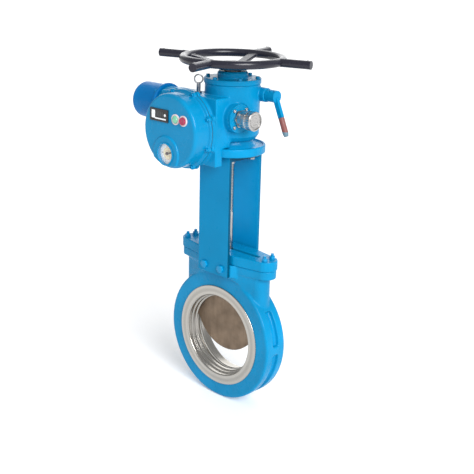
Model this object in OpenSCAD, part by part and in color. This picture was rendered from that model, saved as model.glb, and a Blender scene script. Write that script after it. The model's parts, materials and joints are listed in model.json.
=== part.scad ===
// Wafer knife gate valve, DN200, with a multi-turn electric actuator on a two-plate yoke.
// Millimetres, +Z up. Origin: centre of the bore at the gate's mid-plane. +Y is the flow direction,
// from the front flange to the rear one. The gate is drawn partly open.

/* [Valve body] */
// Outer diameter of the flange discs
flange_d = 340; // [330:1:350]
// Face to face length over the raised seat rings
face_to_face = 73; // [72:1:80]
// Diameter of the bolt circle
bolt_circle = 295; // [290:1:300]
// Number of tapped bolt holes in each face
bolt_count = 8; // [4, 8, 12]
// Thread diameter of the flange bolts
bolt_d = 20; // [16:1:20]
// Clear bore at the seat
bore_d = 200; // [194:1:200]
// Outer diameter of the raised face
raised_d = 266; // [260:1:268]

/* [Gate and stem] */
// Thickness of the gate
gate_t = 10; // [8:1:10]
// Width of the gate
gate_w = 208; // [206:1:208]
// Lift of the gate above its closed position
gate_lift = 58; // [56:1:60]
// Diameter of the stem
stem_d = 20; // [18:1:20]

/* [Yoke] */
// Width of each yoke plate
yoke_w = 102; // [98:1:104]
// Thickness of each yoke plate
yoke_t = 8; // [8:1:12]
// Height of the actuator's mounting face above the pipe axis
yoke_top = 480; // [478:1:481]

/* [Actuator] */
// Outer diameter of the gear column
column_d = 134; // [130:1:136]
// Outer diameter of the actuator's base flange
base_d = 168; // [160:1:170]
// Outer diameter of the round electrical cover
cover_d = 178; // [174:1:180]
// Outer diameter of the motor
motor_d = 89; // [86:1:92]

/* [Handwheel] */
// Diameter of the rim, along the middle of its tube
rim_d = 238; // [220:1:250]
// Diameter of the rim's tube
rim_tube_d = 20; // [18:1:22]
// Distance from the axis to the tip of a grip
grip_reach = 200; // [180:1:210]
// Turn of the first grip from +X
grip_angle = 17; // [0:1:89]

/* [Hidden] */
$fn = 64;

eps = 0.5;
far = 90;
paint_front = "#0A86C4";
paint_light = "#12A2D6";
steel = "#C9C9C4";
plate_steel = "#7D695A";
brass = "#B08D57";
black = "#2A2A33";

// Body
flange_r = flange_d / 2;
disc_half = face_to_face / 2 - 3;
liner_r = 110;
bore_r = bore_d / 2;
edge_chamfer = 3;
groove_r = 160;
groove_half = 9;
groove_spans = [[4, 35], [145, 176], [184, 266], [274, 356]];
neck_x = 134;
neck_end_y = 26;
neck_mid_x = 46;
neck_mid_y = 40;
joint_z = 206;
joint_x = 153;
gland_x = 155;
gland_end_y = 29;
gland_mid_y = 42;
gland_t = 25;
ear_t = 22;
boss_x = 53;
boss_y = 49;
boss_wide_x = 75;
boss_z = 173;
bolt_depth = 20;
first_bolt = 180 / bolt_count;
plug_r = 8;
plug_depth = 14;
plug_hex_r = 3.5;
plug_hex_depth = 2;
seat_lip_y = 12;
seat_step_y = 22;
seat_cone = 2;
seat_step_1 = 3.5;
seat_step_2 = 7;
seat_mouth = 9;

// Gate guide and packing
slot_x = 106;
slot_y = 6;
pack_x = 112;
pack_y = 14;
pack_z = 150;
pack_rows = 3;
pack_row_h = 6;
nose_z = pack_z + pack_rows * pack_row_h;
seat_y = 5.3;
gate_r = gate_w / 2;
gate_top = 168;
gate_clear = 0.4;
tee_x = 18;
tee_h = 12;
tang_x = 10;
tang_h = 34;
tang_y = 4.8;
tee_gap = 0.3;
stem_r = stem_d / 2;
stem_top = 580;
stud_x = 134;
stud_y = 14;
stud_r = 4;
stud_depth = 16;
nut_w = 13;
nut_h = 6.5;
washer_r = 8;
washer_h = 1.6;

// Yoke
yoke_x = yoke_w / 2;
yoke_outer = boss_y + yoke_t;
yoke_foot = 175;
top_plate_t = 12;
yoke_bolt_x = 28;
yoke_bolt_z = 194;
yoke_bolt_r = 6;
yoke_bolt_depth = 27;
yoke_bolt_len = 34;
base_bolt_xy = 36;
base_bolt_r = 5;
base_bore_r = 24;

// Actuator, bottom to top
base_r = base_d / 2;
base_t = 21;
base_edge = 2;
base_lip = 7;
base_floor = 4;
base_top = 514;
waist_r = 52;
waist_foot_r = 62;
column_r = column_d / 2;
column_in = 56;
column_top = 648;
cover_plate_top = 660;
neck_top = 676;
neck_r = 37;
bearing_r = 36;
sleeve_r = 20;
sleeve_in = 12;
run_gap = 0.06;
hub_z = 679;
hub_top = 686;
hub_nut_h = 5;
dish_r = 62;
nut_top = 518;
bearing_z = 494;

// Gear block, motor and worm
block_x0 = -145;
block_x1 = 42;
block_y0 = -105;
block_z0 = 460;
block_z1 = 622;
motor_y = -60;
motor_z = 582;
motor_r = motor_d / 2;
motor_x0 = -160;
motor_x1 = -238;
motor_tip = -254;
worm_r = 13;
wheel_r = 46;
wheel_z = 572;
wheel_h = 20;
wheel_teeth = 40;
shaft_r = 8;
tunnel_r = 18;
motor_flange = 5;
motor_flange_t = 8;
motor_wall = 6;
motor_bolt_circle = motor_r + 1;
rotor_x0 = -228;
rotor_x1 = -189;
stator_x0 = -232;
stator_x1 = -185;
eye_x = -55;
eye_turn = 43;
eye_h = 33;
eye_r = 10;
eye_wire_r = 1.9;

// Clutch lever
lever_y = 38;
lever_z = 623;
lever_r = 14.5;
lever_shaft_r = 6;
lever_boss_x = 80;
lever_end = 110;
lever_tilt = 23.5;
lever_len = 90;
arm_len = 52;
finger_tilt = 17.5;
lever_holes = [90, 102];
lever_hole_turn = 35;
clutch_z = 600;
clutch_top = 640;
clutch_r = 31;
clutch_groove_r = 26;
clutch_groove = [621, 631];

// Electrical cover
cover_x = -54;
cover_z = 540;
cover_r = cover_d / 2;
cover_y0 = -106.5;
cover_y1 = -157;
cover_flange_r = 95;
cover_screw_r = 93;
cover_screws_n = 8;
cover_head_r = 3.8;
dial_x = -63;
dial_z = 485;
dial_r = 26;
dial_boss_r = 43;
dial_front = -161;
pointer_rest = 74;
pointer_inner_y = cover_y1 + 16;
display_x = -86;
display_z = 575;
display_w = 62;
display_h = 30;
button_z = 572;
green_x = -30;
red_x = -4;
button_r = 9;
bezel_r = 12.5;

// Cable fitting
cable_y = -40;
cable_z = 574;
cable_x = 58;
cable_flange_t = 6;
cable_flange_r = 34;
gland_len = 30;
gland_bore_r = 14;
gland_hex_r = 22;
gland_cap_r = 23;
spot_gap = 0.5;
cable_screw_r = 28;

// Handwheel
rim_r = rim_d / 2;
rim_tube_r = rim_tube_d / 2;
rim_z = 704;
spokes = 4;
hub_r = 30;
dish_foot_r = 38;
dish_h = 12;
dish_wall = 4;
spoke_half = 11;
spoke_t = 4;
spoke_start = 28;

// Cylinder of radius r along Y from y0 to y1, through (x, z)
module y_cyl(x, z, y0, y1, r) {
    translate([x, y0, z]) rotate([-90, 0, 0]) cylinder(r = r, h = y1 - y0);
}

// Cylinder of radius r along X from x0 to x1, through (y, z)
module x_cyl(y, z, x0, x1, r) {
    translate([x0, y, z]) rotate([0, 90, 0]) cylinder(r = r, h = x1 - x0);
}

// Upright cylinder of radius r from z0 to z1
module z_cyl(z0, z1, r) {
    translate([0, 0, z0]) cylinder(r = r, h = z1 - z0);
}

// Upright tube from z0 to z1
module z_tube(z0, z1, r_out, r_in) {
    difference() {
        z_cyl(z0, z1, r_out);
        z_cyl(z0 - eps, z1 + eps, r_in);
    }
}

// Box between two corners
module box(low, high) {
    translate(low) cube(high - low);
}

// Box centred on the stem's axis, from z0 to z1
module mid_box(x, y, z0, z1) {
    box([-x, -y, z0], [x, y, z1]);
}

// Children copied at each of n equal steps about Z
module around_z(n, first = 0) {
    for (i = [0 : n - 1]) rotate([0, 0, first + i * 360 / n]) children();
}

// Children copied at each of n equal steps about the Y axis
module around_y(n, first = 0) {
    for (i = [0 : n - 1]) rotate([0, first + i * 360 / n, 0]) children();
}

// Outline that is thick in the middle and has round ends
function lens(x, end_y, mid_x, mid_y) = concat(
    [[-mid_x, -mid_y], [mid_x, -mid_y]],
    [for (i = [0 : 10]) let (a = -90 + i * 18) [x - end_y + end_y * cos(a), end_y * sin(a)]],
    [[mid_x, mid_y], [-mid_x, mid_y]],
    [for (i = [0 : 10]) let (a = 90 + i * 18) [end_y - x + end_y * cos(a), end_y * sin(a)]]);

// Hex head or nut, across flats w, from z0 up
module hex(w, h, z0 = 0) {
    translate([0, 0, z0]) cylinder(r = w / 2 / cos(30), h = h, $fn = 6);
}

// Disc with chamfered edges about the Y axis
module flange_disc() {
    rotate([90, 0, 0]) rotate_extrude() polygon([
        [0, -disc_half], [flange_r - edge_chamfer, -disc_half],
        [flange_r, edge_chamfer - disc_half], [flange_r, disc_half - edge_chamfer],
        [flange_r - edge_chamfer, disc_half], [0, disc_half]]);
}

// Groove round the rim between the two flanges
module rim_groove(from, to) {
    rotate([90, 0, 0]) rotate([0, 0, from]) rotate_extrude(angle = to - from) polygon([
        [groove_r, -groove_half], [flange_r + 1, -groove_half - 1.5],
        [flange_r + 1, groove_half + 1.5], [groove_r, groove_half]]);
}

// Neck above the flanges: a lens that stands clear of the pipe flanges on both faces
module neck() {
    difference() {
        union() {
            translate([0, 0, 60]) linear_extrude(joint_z - 60)
                polygon(lens(neck_x, neck_end_y, neck_mid_x, neck_mid_y));
            translate([0, 0, boss_z]) linear_extrude(joint_z - boss_z) polygon([
                [-boss_x, -boss_y], [boss_x, -boss_y], [boss_wide_x, -neck_end_y],
                [boss_wide_x, neck_end_y], [boss_x, boss_y], [-boss_x, boss_y],
                [-boss_wide_x, neck_end_y], [-boss_wide_x, -neck_end_y]]);
            translate([0, 0, joint_z - ear_t]) linear_extrude(ear_t)
                polygon(lens(joint_x, neck_end_y + 1, neck_mid_x, neck_mid_y));
        }
        for (side = [-1, 1]) y_cyl(0, 0, side > 0 ? disc_half : -far, side > 0 ? far : -disc_half,
            flange_r + 2);
    }
}

module valve_body() {
    color(paint_front) difference() {
        union() {
            flange_disc();
            neck();
        }
        for (span = groove_spans) rim_groove(span[0], span[1]);
        y_cyl(0, 0, -far, far, liner_r);
        mid_box(slot_x, slot_y, 0, pack_z + eps);
        mid_box(pack_x, pack_y, pack_z, joint_z + eps);
        around_y(bolt_count, first_bolt) {
            y_cyl(bolt_circle / 2, 0, -disc_half - eps, plug_depth - disc_half, plug_r);
            y_cyl(bolt_circle / 2, 0, disc_half - bolt_depth, disc_half + eps, bolt_d / 2);
        }
        for (x = [-stud_x, stud_x], y = [-stud_y, stud_y]) translate([x, y, joint_z - stud_depth])
            cylinder(r = stud_r, h = stud_depth + eps);
        for (x = [-yoke_bolt_x, yoke_bolt_x], side = [-1, 1]) y_cyl(x, yoke_bolt_z,
            side < 0 ? -boss_y - eps : boss_y - yoke_bolt_depth,
            side < 0 ? yoke_bolt_depth - boss_y : boss_y + eps, yoke_bolt_r);
    }
}

// Raised face and liner of one seat ring, drawn for the front and mirrored for the rear
module seat_ring(seal_groove) {
    face = face_to_face / 2;
    rotate([90, 0, 0]) difference() {
        rotate_extrude($fn = 128) polygon([
            [raised_d / 2 - 1, face], [raised_d / 2, face - 1], [raised_d / 2, disc_half],
            [liner_r, disc_half], [liner_r, seat_y], [bore_r, seat_y], [bore_r, seat_lip_y],
            [bore_r + seat_step_1, seat_lip_y + seat_cone], [bore_r + seat_step_1, seat_step_y],
            [bore_r + seat_step_2, seat_step_y + seat_cone],
            [bore_r + seat_step_2, face - 2.5], [bore_r + seat_mouth, face]]);
        if (seal_groove) rotate_extrude($fn = 128) translate([bore_r + 2, seat_y - 1])
            square([4, 4]);
    }
}

module front_seat_ring() {
    color(steel) seat_ring(false);
}

module rear_seat_ring() {
    color(steel) mirror([0, 1, 0]) seat_ring(true);
}

module seat_seal() {
    color("#E8E8E2") rotate([-90, 0, 0]) rotate_extrude($fn = 128)
        translate([bore_r + 2, seat_y]) square([4, 3]);
}

module gate_packing() {
    color("#8A8578") for (i = [0 : pack_rows - 1]) difference() {
        mid_box(pack_x - 0.1, pack_y - 0.1, pack_z + i * pack_row_h, pack_z + (i + 1) * pack_row_h - 0.2);
        mid_box(gate_r + gate_clear, gate_t / 2 + gate_clear, pack_z - eps, nose_z + eps);
    }
}

module gland_flange() {
    color(paint_light) difference() {
        union() {
            translate([0, 0, joint_z]) linear_extrude(gland_t)
                polygon(lens(gland_x, gland_end_y, neck_mid_x + 8, gland_mid_y));
            mid_box(pack_x - 0.3, pack_y - 0.3, nose_z, joint_z + eps);
        }
        mid_box(gate_r + gate_clear, gate_t / 2 + gate_clear, nose_z - eps, joint_z + gland_t + eps);
        z_cyl(nose_z - eps, joint_z + gland_t + eps, stem_r + 0.6);
        for (x = [-stud_x, stud_x], y = [-stud_y, stud_y]) translate([x, y, joint_z - eps])
            cylinder(r = stud_r + 0.5, h = gland_t + 2 * eps);
    }
}

module gland_studs() {
    color(steel) for (x = [-stud_x, stud_x], y = [-stud_y, stud_y])
        translate([x, y, joint_z - stud_depth + 1])
        cylinder(r = stud_r, h = stud_depth - 1 + gland_t + washer_h + nut_h + 6);
}

module gland_nuts() {
    color(steel) for (x = [-stud_x, stud_x], y = [-stud_y, stud_y])
        translate([x, y, joint_z + gland_t]) difference() {
            union() {
                cylinder(r = washer_r, h = washer_h);
                hex(nut_w, nut_h, washer_h);
            }
            translate([0, 0, -eps]) cylinder(r = stud_r, h = nut_h + washer_h + 2 * eps);
        }
}

module flange_plugs() {
    color(paint_front) around_y(bolt_count, first_bolt) difference() {
        y_cyl(bolt_circle / 2, 0, -disc_half, plug_depth - disc_half, plug_r);
        translate([bolt_circle / 2, -disc_half - eps, 0]) rotate([-90, 0, 0])
            cylinder(r = plug_hex_r, h = plug_hex_depth + eps, $fn = 6);
    }
}

// One yoke plate: side is -1 in front of the valve and 1 behind it
module yoke_plate(side) {
    difference() {
        box([-yoke_x, side < 0 ? -yoke_outer : boss_y, yoke_foot],
            [yoke_x, side < 0 ? -boss_y : yoke_outer, yoke_top]);
        for (x = [-yoke_bolt_x, yoke_bolt_x]) y_cyl(x, yoke_bolt_z,
            side < 0 ? -yoke_outer - eps : boss_y - eps, side < 0 ? eps - boss_y : yoke_outer + eps,
            yoke_bolt_r);
    }
}

module front_yoke_plate() {
    color(paint_front) yoke_plate(-1);
}

module rear_yoke_plate() {
    color(paint_light) yoke_plate(1);
}

module yoke_top_plate() {
    color(paint_front) difference() {
        mid_box(yoke_x, boss_y, yoke_top - top_plate_t, yoke_top);
        z_cyl(yoke_top - top_plate_t - eps, yoke_top + eps, base_bore_r);
        for (x = [-1, 1], y = [-1, 1]) translate([x * base_bolt_xy, y * base_bolt_xy, yoke_top - 20])
            cylinder(r = base_bolt_r + 0.5, h = 30);
    }
}

module yoke_bolts() {
    color(steel) for (x = [-yoke_bolt_x, yoke_bolt_x], side = [-1, 1])
        translate([x, side * yoke_outer, yoke_bolt_z]) rotate([-90 * side, 0, 0]) {
            hex(18, 6);
            translate([0, 0, -yoke_bolt_len]) cylinder(r = yoke_bolt_r, h = yoke_bolt_len);
        }
}

module base_bolts() {
    color(steel) for (x = [-1, 1], y = [-1, 1])
        translate([x * base_bolt_xy, y * base_bolt_xy, yoke_top - top_plate_t]) {
            hex(17, 7, -7);
            cylinder(r = base_bolt_r, h = top_plate_t + 13);
        }
}

// Round-bottomed plate with a knife edge, slotted at the top for the stem's tee
module gate() {
    color(plate_steel) translate([0, 0, gate_lift]) difference() {
        union() {
            rotate([90, 0, 0]) rotate([0, 0, 180]) rotate_extrude(angle = 180, $fn = 128) polygon([
                [0, -gate_t / 2], [gate_r - 3, -gate_t / 2], [gate_r, 2 - gate_t / 2],
                [gate_r, gate_t / 2], [0, gate_t / 2]]);
            mid_box(gate_r, gate_t / 2, 0, gate_top);
        }
        mid_box(tang_x + tee_gap, gate_t, gate_top - tang_h, gate_top + eps);
        mid_box(tee_x + tee_gap, gate_t, gate_top - tang_h - tee_h, gate_top - tang_h + tee_gap);
    }
}

module stem() {
    tang_top = gate_lift + gate_top;
    color(steel) {
        mid_box(tee_x, tang_y, tang_top - tang_h - tee_h + tee_gap, tang_top - tang_h);
        mid_box(tang_x, tang_y, tang_top - tang_h, tang_top);
        z_cyl(tang_top, stem_top, stem_r);
    }
}

module stem_nut() {
    color(brass) difference() {
        union() {
            z_cyl(yoke_top, nut_top, sleeve_r);
            z_cyl(bearing_z + 14.2, nut_top, sleeve_r + 7);
        }
        z_cyl(yoke_top - eps, nut_top + eps, stem_r + run_gap);
    }
}

module drive_sleeve() {
    color(steel) difference() {
        union() {
            z_cyl(nut_top, hub_top, sleeve_r);
            z_cyl(hub_top, hub_top + hub_nut_h + 1, 17);
        }
        z_cyl(nut_top - eps, hub_top + 9, sleeve_in);
    }
}

// Two races with balls between them
module bearing(z0, h, r_in, r_out) {
    wall = (r_out - r_in) * 0.3;
    z_tube(z0, z0 + h, r_in + wall, r_in);
    z_tube(z0, z0 + h, r_out, r_out - wall);
    ball = (r_out - r_in) / 2 - wall - 0.05;
    around_z(9) translate([(r_in + r_out) / 2, 0, z0 + h / 2]) sphere(r = ball);
}

module lower_bearing() {
    color(steel) bearing(bearing_z, 14, sleeve_r + run_gap, bearing_r);
}

module upper_bearing() {
    color(steel) bearing(652, 14, sleeve_r + run_gap, 33);
}

module thrust_base() {
    lip = yoke_top + base_t;
    color(paint_light) difference() {
        rotate_extrude($fn = 128) polygon([
            [base_bore_r, yoke_top], [base_r - base_edge, yoke_top],
            [base_r, yoke_top + base_edge], [base_r, lip - base_edge], [base_r - base_edge, lip],
            [base_r - base_lip + 1, lip], [base_r - base_lip, lip - base_floor],
            [waist_foot_r, lip - base_floor], [waist_r + 2, lip + base_floor],
            [waist_r, lip + 10], [waist_r, base_top], [bearing_r, base_top],
            [bearing_r, bearing_z], [base_bore_r, bearing_z]]);
        for (x = [-1, 1], y = [-1, 1]) translate([x * base_bolt_xy, y * base_bolt_xy, yoke_top - eps])
            cylinder(r = base_bolt_r, h = 14);
    }
}

// Ring of small lugs about the cover's axis, each from y0 to y1
module cover_lugs(y0, y1, r) {
    translate([cover_x, 0, cover_z]) around_y(cover_screws_n, 22.5)
        y_cyl(cover_screw_r, 0, y0, y1, r);
}

// Block behind the electrical cover, cut clear of the base flange and the front yoke plate
module gear_block() {
    difference() {
        box([block_x0, block_y0 + 8, block_z0], [block_x1, -30, block_z1]);
        z_cyl(block_z0 - eps, yoke_top + base_t + 0.4, base_r + 0.6);
        z_cyl(yoke_top, base_top, waist_foot_r);
        box([block_x0 - 1, -yoke_outer - 1.3, block_z0 - 1], [block_x1 + 1, 0, yoke_top + 0.4]);
    }
}

module gear_housing() {
    color(paint_light) difference() {
        union() {
            translate([0, 0, base_top]) cylinder(r1 = column_r - 9, r2 = column_r, h = 12);
            z_cyl(base_top + 12, column_top, column_r);
            gear_block();
            y_cyl(cover_x, cover_z, block_y0, block_y0 + 9, cover_flange_r);
            cover_lugs(block_y0, block_y0 + 9, 7);
            x_cyl(motor_y, motor_z, motor_x0, block_x0 + 1, motor_r - 2);
            x_cyl(cable_y, cable_z, 20, cable_x, cable_flange_r);
            x_cyl(lever_y, lever_z, 30, lever_boss_x, lever_r + 2.5);
        }
        z_cyl(base_top + 8, column_top + eps, column_in);
        z_cyl(base_top - eps, base_top + 9, bearing_r);
        x_cyl(motor_y, motor_z, motor_x0 - eps, 30, tunnel_r);
        y_cyl(cover_x, cover_z, block_y0 - eps, block_y0 + 12, cover_r - 12);
        x_cyl(cable_y, cable_z, 40, cable_x + eps, gland_bore_r);
        x_cyl(cable_y, cable_z, cable_x, far, cable_flange_r + spot_gap);
        x_cyl(lever_y, lever_z, 0, lever_boss_x + eps, lever_shaft_r + run_gap);
        cover_lugs(block_y0 - eps, block_y0 + 7, 2.5);
    }
}

module top_cover() {
    color(paint_light) difference() {
        union() {
            z_cyl(column_top, cover_plate_top, column_r + 2);
            z_cyl(cover_plate_top, neck_top - 3, neck_r);
            z_cyl(neck_top - 3, neck_top, neck_r - 3);
        }
        z_cyl(column_top - eps, 666, 33);
        z_cyl(660, neck_top + eps, sleeve_r + 0.5);
        around_z(6, 30) translate([61, 0, column_top - eps]) cylinder(r = 3, h = 20);
    }
}

module top_cover_screws() {
    color(steel) around_z(6, 30) translate([61, 0, column_top]) {
        cylinder(r = 3, h = cover_plate_top - column_top);
        translate([0, 0, cover_plate_top - column_top]) cylinder(r = 5, h = 5);
    }
}

module worm_wheel() {
    pitch = 360 / wheel_teeth;
    root = wheel_r - 5;
    color(brass) difference() {
        translate([0, 0, wheel_z]) linear_extrude(wheel_h) polygon([
            for (i = [0 : wheel_teeth - 1], k = [0 : 3])
                let (r = k == 1 || k == 2 ? wheel_r : root, a = (i + [0, 0.2, 0.45, 0.65][k]) * pitch)
                [r * cos(a), r * sin(a)]]);
        z_cyl(wheel_z - eps, wheel_z + wheel_h + eps, sleeve_r + run_gap);
    }
}

module worm_shaft() {
    color(steel) {
        x_cyl(motor_y, motor_z, motor_x1 - 8, 28, shaft_r);
        for (x = [-27 : 6 : 15]) translate([x, motor_y, motor_z]) rotate([0, 90, 0]) {
            cylinder(r1 = shaft_r + 1, r2 = worm_r, h = 2);
            translate([0, 0, 2]) cylinder(r = worm_r, h = 1.5);
            translate([0, 0, 3.5]) cylinder(r1 = worm_r, r2 = shaft_r + 1, h = 2);
        }
        x_cyl(motor_y, motor_z, rotor_x0, rotor_x1, 26);
    }
}

module worm_bearings() {
    color(steel) for (x = [-152, 29.9 - 8]) difference() {
        x_cyl(motor_y, motor_z, x, x + 8, tunnel_r);
        x_cyl(motor_y, motor_z, x - eps, x + 8 + eps, shaft_r + run_gap);
    }
}

module motor_housing() {
    color("#0A5AA5") difference() {
        union() {
            x_cyl(motor_y, motor_z, motor_x1, motor_x0, motor_r);
            x_cyl(motor_y, motor_z, motor_x0 - motor_flange_t, motor_x0, motor_r + motor_flange);
        }
        x_cyl(motor_y, motor_z, motor_x1 - eps, motor_x0 - 6, motor_r - motor_wall);
        x_cyl(motor_y, motor_z, motor_x0 - 7, motor_x0 + eps, 24);
        motor_bolt_places() cylinder(r = 4.5, h = 4.5);
    }
}

module motor_stator() {
    color("#6E4B2E") difference() {
        x_cyl(motor_y, motor_z, stator_x0, stator_x1, motor_r - motor_wall);
        x_cyl(motor_y, motor_z, stator_x0 - eps, stator_x1 + eps, 26.6);
    }
}

module motor_end_cap() {
    depth = motor_x1 - motor_tip;
    steps = 6;
    color("#0A5AA5") translate([motor_x1, motor_y, motor_z]) rotate([0, -90, 0])
        difference() {
            rotate_extrude() polygon(concat(
                [[0, 0], [motor_r, 0]],
                [for (i = [1 : steps]) let (a = 90 * i / steps)
                    [motor_r - depth + depth * cos(a), depth * sin(a)]],
                [[0, depth]]));
            translate([0, 0, -eps]) cylinder(r = shaft_r + run_gap, h = 9);
        }
}

// Children on the back of the motor's flange at each of its four bolts, pointing away from it
module motor_bolt_places() {
    translate([motor_x0 - motor_flange_t, motor_y, motor_z]) rotate([0, -90, 0])
        around_z(4, 45) translate([motor_bolt_circle, 0, 0]) children();
}

module motor_bolts() {
    color(steel) motor_bolt_places() hex(7, 4);
}

module clutch_sleeve() {
    color(steel) difference() {
        union() {
            z_cyl(clutch_z, clutch_top, clutch_groove_r);
            z_cyl(clutch_z, clutch_groove[0], clutch_r);
            z_cyl(clutch_groove[1], clutch_top, clutch_r);
        }
        z_cyl(clutch_z - eps, clutch_top + eps, sleeve_r + 0.3);
    }
}

// Hub, cranked arm and shaft of the hand and motor change-over lever
module clutch_lever() {
    color(paint_light) {
        difference() {
            x_cyl(lever_y, lever_z, lever_boss_x + 0.4, lever_end, lever_r);
            for (x = lever_holes) translate([x, lever_y, lever_z]) rotate([lever_hole_turn, 0, 0])
                translate([0, 0, lever_r - 3]) cylinder(r = 2.5, h = 6);
        }
        x_cyl(lever_y, lever_z, -5, lever_boss_x + 1, lever_shaft_r);
        translate([0, lever_y, lever_z]) rotate([-finger_tilt, 0, 0])
            box([-4, -10.5, -2.5], [4, 0, 2.5]);
        translate([lever_end - 6, lever_y, lever_z]) rotate([0, 180 - lever_tilt, 0])
            box([-6.5, -4.5, 4], [6.5, 4.5, arm_len]);
    }
}

module lever_grip() {
    color("#A85A58") translate([lever_end - 6, lever_y, lever_z]) rotate([0, 180 - lever_tilt, 0]) {
        translate([0, 0, arm_len]) cylinder(r = 7, h = lever_len - arm_len);
        translate([0, 0, lever_len]) cylinder(r1 = 7, r2 = 5, h = 8);
    }
}

module electrical_cover() {
    round = 8;
    wall = 4;
    lip = cover_y1 + wall;
    color(paint_front) difference() {
        union() {
            translate([cover_x, 0, cover_z]) rotate([90, 0, 0]) rotate_extrude($fn = 128)
                polygon(concat(
                    [[cover_r - wall, -cover_y0], [cover_flange_r, -cover_y0],
                        [cover_flange_r, 6 - cover_y0], [cover_r, 8 - cover_y0]],
                    [for (i = [0 : 6]) let (a = 15 * i)
                        [cover_r - round + round * cos(a), -cover_y1 - round + round * sin(a)]],
                    [[0, -cover_y1], [0, -lip], [cover_r - round, -lip],
                        [cover_r - wall, -lip - round + wall]]));
            difference() {
                cover_lugs(cover_y0 - 10, cover_y0, 6.5);
                y_cyl(cover_x, cover_z, cover_y1, cover_y0 + eps, cover_r - wall + 1);
            }
            intersection() {
                y_cyl(dial_x, dial_z, dial_front, lip + 6, dial_boss_r);
                y_cyl(cover_x, cover_z, dial_front, lip + 6, cover_r - 5);
            }
        }
        y_cyl(dial_x, dial_z, dial_front - eps, dial_front + 11, dial_r);
        y_cyl(dial_x, dial_z, dial_front, lip + 7, 2 + run_gap);
        for (x = [green_x, red_x]) y_cyl(x, button_z, cover_y1 - eps, lip + eps, button_r + 0.3);
        cover_lugs(cover_y0 - 12, cover_y0 + eps, 2.5);
    }
}

module cover_gasket() {
    color("#26282B") difference() {
        y_cyl(cover_x, cover_z, cover_y0, block_y0, cover_flange_r - 1);
        y_cyl(cover_x, cover_z, cover_y0 - eps, block_y0 + eps, cover_r - 4);
        cover_lugs(cover_y0 - eps, block_y0 + eps, 3);
    }
}

module cover_screws() {
    color(steel) {
        cover_lugs(cover_y0 - 10, block_y0 + 6, 2.5);
        cover_lugs(cover_y0 - 14, cover_y0 - 10, cover_head_r);
    }
}

module control_board() {
    board_y = -120;
    color("#1F6B3A") {
        box([-92, board_y, 503], [-8, board_y + 2, 582]);
        for (x = [-86, -14], z = [509, 576]) y_cyl(x, z, board_y + 2, block_y0 + 12, 3);
        box([-80, board_y - 12, 545], [-50, board_y, 570]);
        box([-35, board_y - 16, 512], [-15, board_y, 540]);
    }
}

module display_panel() {
    color("#101214") difference() {
        box([display_x - display_w / 2, cover_y1 - 3, display_z - display_h / 2],
            [display_x + display_w / 2, cover_y1, display_z + display_h / 2]);
        box([display_x - display_w / 2 + 4, cover_y1 - 4, display_z - display_h / 2 + 4],
            [display_x + display_w / 2 - 4, cover_y1 - 2, display_z + display_h / 2 - 4]);
    }
}

module dial_face() {
    color("#EDE6C8") difference() {
        y_cyl(dial_x, dial_z, dial_front + 9, dial_front + 11, dial_r - 0.1);
        y_cyl(dial_x, dial_z, dial_front + 8, dial_front + 12, 2.4);
    }
}

module dial_pointer() {
    color("#3A1C1C") translate([dial_x, 0, dial_z]) rotate([0, pointer_rest, 0]) {
        y_cyl(0, 0, dial_front + 5, pointer_inner_y, 2);
        box([-1.5, dial_front + 6, -6], [1.5, dial_front + 7, 19]);
        y_cyl(0, 0, dial_front + 5.5, dial_front + 7.5, 4);
    }
}

module dial_glass() {
    color("#DDE8EA") y_cyl(dial_x, dial_z, dial_front, dial_front + 2, dial_r - 0.1);
}

module dial_bezel() {
    color(paint_front) difference() {
        y_cyl(dial_x, dial_z, dial_front - 2, dial_front, dial_r + 2);
        y_cyl(dial_x, dial_z, dial_front - 2 - eps, dial_front + eps, dial_r - 1.5);
    }
}

module button_bezels() {
    color("#D8D2D0") for (x = [green_x, red_x]) difference() {
        y_cyl(x, button_z, cover_y1 - 3, cover_y1, bezel_r);
        y_cyl(x, button_z, cover_y1 - 3 - eps, cover_y1 + eps, button_r + 0.3);
    }
}

// Push-button with a guide stem behind its cap
module push_button(x) {
    y_cyl(x, button_z, cover_y1 - 7, cover_y1 + 6, button_r);
}

module green_button() {
    color("#3DBE7A") push_button(green_x);
}

module red_button() {
    color("#C8243C") push_button(red_x);
}

module cable_flange() {
    color(paint_light) difference() {
        x_cyl(cable_y, cable_z, cable_x, cable_x + cable_flange_t, cable_flange_r);
        x_cyl(cable_y, cable_z, cable_x - eps, cable_x + cable_flange_t + eps, gland_bore_r);
        translate([cable_x, cable_y, cable_z]) rotate([0, 90, 0]) around_z(4, 45)
            translate([cable_screw_r, 0, -eps]) cylinder(r = 2, h = 10);
    }
}

module cable_flange_screws() {
    color(steel) translate([cable_x, cable_y, cable_z]) rotate([0, 90, 0]) around_z(4, 45)
        translate([cable_screw_r, 0, 0]) {
            cylinder(r = 2, h = cable_flange_t);
            translate([0, 0, cable_flange_t]) cylinder(r = 4, h = 3.5);
        }
}

module cable_gland() {
    start = cable_x + cable_flange_t;
    color(steel) difference() {
        union() {
            x_cyl(cable_y, cable_z, start, start + gland_len, 19.5);
            x_cyl(cable_y, cable_z, start, start + 6, gland_hex_r);
        }
        x_cyl(cable_y, cable_z, start - eps, start + gland_len + eps, gland_bore_r);
    }
}

module cable_gland_cap() {
    start = cable_x + cable_flange_t + gland_len;
    color(steel) difference() {
        union() {
            x_cyl(cable_y, cable_z, start, start + 20, gland_cap_r);
            x_cyl(cable_y, cable_z, start - 10, start, gland_bore_r - 0.1);
        }
        x_cyl(cable_y, cable_z, start + 17, start + 21, 19);
    }
}

module lifting_eye() {
    color(steel) translate([eye_x, motor_y, block_z1]) rotate([0, 0, eye_turn]) {
        cylinder(r = 8, h = 4);
        cylinder(r = 5, h = 23);
        translate([0, 0, eye_h]) rotate([90, 0, 0]) rotate_extrude() translate([eye_r, 0])
            circle(r = eye_wire_r, $fn = 32);
    }
}

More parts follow.
